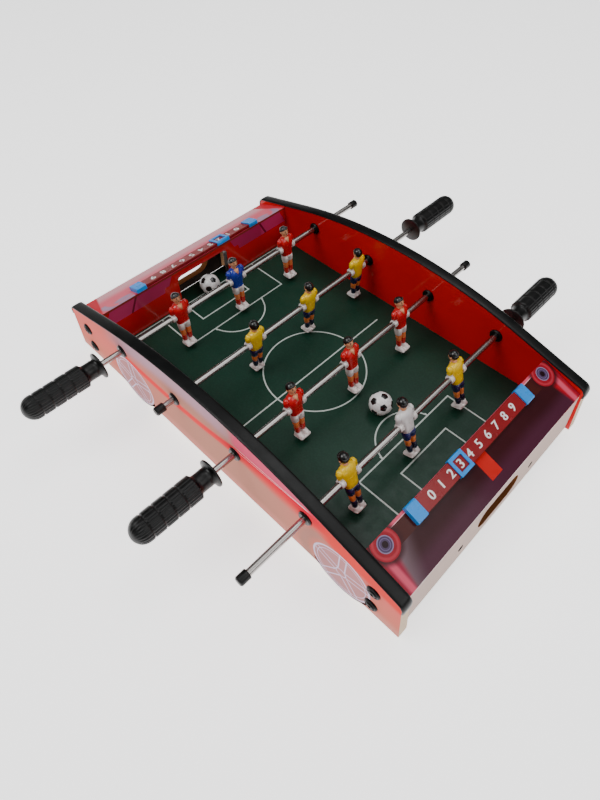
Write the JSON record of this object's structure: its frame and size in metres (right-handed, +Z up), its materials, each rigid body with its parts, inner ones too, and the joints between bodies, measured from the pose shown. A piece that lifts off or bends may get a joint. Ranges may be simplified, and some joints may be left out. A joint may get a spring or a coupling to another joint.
{
  "type": "tabletop foosball table",
  "caption": "Low box-shaped tabletop football game with arched side panels, sloped score decks, goals, and player rods that slide and turn.",
  "frame": {"origin": "middle of the table, on the plane that the four feet stand on", "axes": "+X runs along the table towards the goal that the red team attacks, +Y across it along the rods, +Z up"},
  "size_m": [0.5146, 0.605, 0.1245],
  "materials": {
    "printed_panel": "printed laminate on fibreboard",
    "edge_trim": "satin",
    "printed_field": "printed laminate on fibreboard",
    "red_board": "gloss laminate on fibreboard",
    "pink_deck": "printed laminate",
    "maroon_deck": "printed laminate",
    "pale_board": "printed laminate on fibreboard",
    "raw_board": "raw fibreboard",
    "red_plastic": "gloss",
    "blue_plastic": "gloss",
    "black_bushing": "satin",
    "black_grip": "gloss",
    "rod_chrome": "polished",
    "pin_steel": "satin",
    "player_red": "gloss",
    "player_blue": "gloss",
    "player_yellow": "gloss",
    "player_white": "gloss",
    "ball_plastic": "gloss",
    "black_hardware": "satin"
  },
  "bodies": {
    "table": {"side_panel_near": "printed_panel", "side_panel_far": "printed_panel", "edge_trim_near": "edge_trim", "edge_trim_far": "edge_trim", "playing_field": "printed_field", "goal_wall_left": "red_board", "goal_wall_right": "red_board", "score_deck_left": "pink_deck", "score_deck_right": "maroon_deck", "end_board_left": "pale_board", "end_board_right": "pale_board", "corner_blocks": "raw_board", "pocket_sides_left": "raw_board", "pocket_sides_right": "raw_board", "score_rail_left": "red_plastic", "score_rail_right": "red_plastic", "rail_caps_left": "blue_plastic", "rail_caps_right": "blue_plastic", "bushings_1": "black_bushing", "bushings_2": "black_bushing", "bushings_3": "black_bushing", "bushings_4": "black_bushing", "bushing_collars": "black_bushing", "panel_bolts": "black_hardware", "cup_washers": "black_hardware", "end_screws": "black_hardware"},
    "rod_1_slider": {"rod_cap_1": "black_grip"},
    "rod_1_turner": {"rod_1": "rod_chrome", "handle_1": "black_grip", "player_1a": "player_red", "player_1b": "player_blue", "player_1c": "player_red", "player_pins_1": "pin_steel"},
    "rod_2_slider": {"rod_cap_2": "black_grip"},
    "rod_2_turner": {"rod_2": "rod_chrome", "handle_2": "black_grip", "player_2a": "player_yellow", "player_2b": "player_yellow", "player_2c": "player_yellow", "player_pins_2": "pin_steel"},
    "rod_3_slider": {"rod_cap_3": "black_grip"},
    "rod_3_turner": {"rod_3": "rod_chrome", "handle_3": "black_grip", "player_3a": "player_red", "player_3b": "player_red", "player_3c": "player_red", "player_pins_3": "pin_steel"},
    "rod_4_slider": {"rod_cap_4": "black_grip"},
    "rod_4_turner": {"rod_4": "rod_chrome", "handle_4": "black_grip", "player_4a": "player_yellow", "player_4b": "player_white", "player_4c": "player_yellow", "player_pins_4": "pin_steel"},
    "marker_left": {"score_marker_left": "blue_plastic"},
    "marker_right": {"score_marker_right": "blue_plastic"},
    "lane_ball": {"ball_lane": "ball_plastic"},
    "goal_ball": {"ball_goal": "ball_plastic"}
  },
  "joints": [
    {"name": "rod_1_slide", "type": "slide", "parent": "table", "child": "rod_1_slider", "axis": [0, 1, 0], "range_m": [-0.0525, 0.0255]},
    {"name": "rod_1_turn", "type": "hinge", "parent": "rod_1_slider", "child": "rod_1_turner", "pos_m": [-0.1425, 0.021, 0.084], "axis": [0, 1, 0], "continuous": true},
    {"name": "rod_2_slide", "type": "slide", "parent": "table", "child": "rod_2_slider", "axis": [0, 1, 0], "range_m": [-0.0715, 0.0065]},
    {"name": "rod_2_turn", "type": "hinge", "parent": "rod_2_slider", "child": "rod_2_turner", "pos_m": [-0.0475, 0.025, 0.084], "axis": [0, 1, 0], "continuous": true},
    {"name": "rod_3_slide", "type": "slide", "parent": "table", "child": "rod_3_slider", "axis": [0, 1, 0], "range_m": [-0.0525, 0.0255]},
    {"name": "rod_3_turn", "type": "hinge", "parent": "rod_3_slider", "child": "rod_3_turner", "pos_m": [0.0475, 0.021, 0.084], "axis": [0, 1, 0], "continuous": true},
    {"name": "rod_4_slide", "type": "slide", "parent": "table", "child": "rod_4_slider", "axis": [0, 1, 0], "range_m": [-0.0165, 0.0615]},
    {"name": "rod_4_turn", "type": "hinge", "parent": "rod_4_slider", "child": "rod_4_turner", "pos_m": [0.1425, -0.03, 0.084], "axis": [0, 1, 0], "continuous": true},
    {"name": "marker_right_slide", "type": "slide", "parent": "table", "child": "marker_right", "axis": [0, 1, 0], "range_m": [-0.045, 0.09]},
    {"name": "marker_left_slide", "type": "slide", "parent": "table", "child": "marker_left", "axis": [0, -1, 0], "range_m": [-0.03, 0.105]},
    {"name": "lane_ball_lift", "type": "slide", "parent": "table", "child": "lane_ball", "axis": [0, 0, 1], "range_m": [0, 0.15]},
    {"name": "goal_ball_roll", "type": "slide", "parent": "table", "child": "goal_ball", "axis": [1, 0, 0], "range_m": [-0.033, 0.004]}
  ]
}
